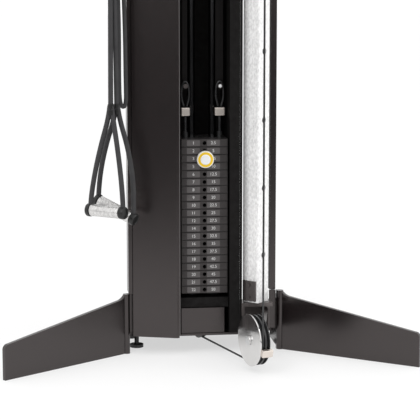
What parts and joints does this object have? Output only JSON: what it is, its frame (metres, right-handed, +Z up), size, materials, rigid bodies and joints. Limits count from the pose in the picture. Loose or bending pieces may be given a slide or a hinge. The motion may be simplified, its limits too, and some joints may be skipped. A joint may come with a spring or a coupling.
{
  "type": "cable crossover machine",
  "caption": "Free-standing cable machine: enclosed weight tower on two splayed plate legs, with a polished square column, high and low pulleys and a pair of rope-hung grips.",
  "frame": {"origin": "on the floor under the middle of the machine's bounding box", "axes": "+Z up, -Y to the front that the user faces, +X to the user's right when facing the machine"},
  "size_m": [1.054, 0.5006, 2.1],
  "materials": {
    "black_coat": "fine textured powder coat",
    "inner_black": "matt black paint",
    "stack_iron": "satin black painted iron",
    "polished_tube": "bright polished",
    "bright_steel": "bright plated",
    "zinc": "dull plated",
    "pulley_black": "satin moulded nylon",
    "rubber": "matt",
    "cable_jacket": "glossy jacket",
    "rope_black": "braided",
    "grip_steel": "satin",
    "knob_cream": "glossy",
    "guard_steel": "polished",
    "grey_coat": "satin grey"
  },
  "bodies": {
    "tower": {"base_cover": "black_coat", "base_frame": "black_coat", "base_plate": "black_coat", "cable_keeper": "zinc", "column": "polished_tube", "column_saddle": "grey_coat", "front_cable": "cable_jacket", "front_posts": "black_coat", "guide_rods": "bright_steel", "head_cables": "cable_jacket", "head_cap": "black_coat", "head_plate_top": "black_coat", "head_yokes": "inner_black", "left_arm": "black_coat", "left_leg": "black_coat", "left_panel": "black_coat", "leg_brackets": "black_coat", "levelling_feet": "rubber", "low_pulley_arm": "black_coat", "low_pulley_guard": "guard_steel", "pulley_axles": "bright_steel", "rear_posts": "black_coat", "right_arm": "black_coat", "right_leg": "black_coat", "shroud_back": "inner_black", "shroud_left": "inner_black", "shroud_right": "inner_black", "stack_buffers": "rubber", "stack_support": "inner_black", "tail_yoke": "inner_black", "weight_plates_04_to_20": "stack_iron"},
    "stack": {"head_weight": "stack_iron", "weight_plate_02": "stack_iron", "weight_plate_03": "stack_iron", "selector_rod": "bright_steel", "lift_links": "grey_coat", "link_bolts": "bright_steel", "cable_eyes": "cable_jacket", "cable_crimps": "zinc", "head_cable_tails": "cable_jacket", "lift_cables": "cable_jacket"},
    "pin": {"selector_pin": "bright_steel", "selector_knob": "knob_cream"},
    "right_head_pulley": {"head_wheel_right": "pulley_black"},
    "left_head_pulley": {"head_wheel_left": "pulley_black"},
    "arm_pulley": {"arm_wheel": "pulley_black"},
    "tail_pulley": {"tail_wheel": "pulley_black"},
    "low_pulley": {"low_pulley_wheel": "pulley_black"},
    "high_bracket": {"high_yoke": "inner_black", "high_axle": "bright_steel", "high_cable": "cable_jacket"},
    "high_pulley": {"high_wheel": "pulley_black"},
    "high_end": {"high_cable_end": "rubber", "high_cable_drop": "cable_jacket"},
    "handles": {"handle_hook": "bright_steel", "handle_cores": "bright_steel", "handle_fittings": "rubber", "handle_ropes": "rope_black"},
    "front_grip": {"handle_grip_front": "grip_steel"},
    "rear_grip": {"handle_grip_rear": "grip_steel"}
  },
  "joints": [
    {"name": "stack_lift", "type": "slide", "parent": "tower", "child": "stack", "axis": [0, 0, 1], "range_m": [0, 0.95], "deforming": ["lift_cables"]},
    {"name": "pin_pull", "type": "slide", "parent": "stack", "child": "pin", "axis": [0, -1, 0], "range_m": [0, 0.1]},
    {"name": "right_head_spin", "type": "hinge", "parent": "tower", "child": "right_head_pulley", "pos_m": [0.01469, 0.12873, 1.985], "axis": [-0.8779, -0.4789, 0], "range_deg": [-5, 899.4]},
    {"name": "tail_spin", "type": "hinge", "parent": "tower", "child": "tail_pulley", "pos_m": [-0.00131, 0.13947, 0.067], "axis": [-0.9553, -0.2957, 0], "range_deg": [-5, 1219.6]},
    {"name": "low_spin", "type": "hinge", "parent": "tower", "child": "low_pulley", "pos_m": [0.102, -0.174, 0.08], "axis": [-0.9553, -0.2957, 0], "range_deg": [-5, 948.5]},
    {"name": "left_head_spin", "type": "hinge", "parent": "tower", "child": "left_head_pulley", "pos_m": [-0.08803, 0.04792, 1.985], "axis": [-0.5416, 0.8406, 0], "continuous": true},
    {"name": "arm_spin", "type": "hinge", "parent": "tower", "child": "arm_pulley", "pos_m": [-0.19797, -0.02292, 1.985], "axis": [-0.5416, 0.8406, 0], "continuous": true},
    {"name": "high_swivel", "type": "hinge", "parent": "tower", "child": "high_bracket", "pos_m": [0.11342, -0.23118, 2.04], "axis": [0, 0, 1], "range_deg": [-100, 100]},
    {"name": "high_spin", "type": "hinge", "parent": "high_bracket", "child": "high_pulley", "pos_m": [0.16342, -0.23118, 1.95], "axis": [0, -1, 0], "range_deg": [-1098.6, 5]},
    {"name": "high_end_pull", "type": "slide", "parent": "high_bracket", "child": "high_end", "axis": [0, 0, -1], "range_m": [0, 0.95], "deforming": ["high_cable_drop"]},
    {"name": "handle_swing", "type": "hinge", "parent": "tower", "child": "handles", "pos_m": [-0.24, -0.05, 1.15], "axis": [-1, 0, 0], "range_deg": [0, 60]},
    {"name": "front_grip_spin", "type": "hinge", "parent": "handles", "child": "front_grip", "pos_m": [-0.2615, -0.061, 0.396], "axis": [0.7707, -0.6371, 0], "continuous": true},
    {"name": "rear_grip_spin", "type": "hinge", "parent": "handles", "child": "rear_grip", "pos_m": [-0.235, -0.014, 0.393], "axis": [0.7405, -0.5779, -0.3431], "continuous": true}
  ],
  "couplings": [
    {"joint": "right_head_spin", "follows": "stack_lift", "rad_per_m": 16.339},
    {"joint": "tail_spin", "follows": "stack_lift", "rad_per_m": 22.222},
    {"joint": "low_spin", "follows": "stack_lift", "rad_per_m": 17.241},
    {"joint": "high_spin", "follows": "stack_lift", "rad_per_m": -20},
    {"joint": "high_end_pull", "follows": "stack_lift", "ratio": 1},
    {"joint": "arm_spin", "follows": "left_head_spin", "ratio": 1}
  ]
}
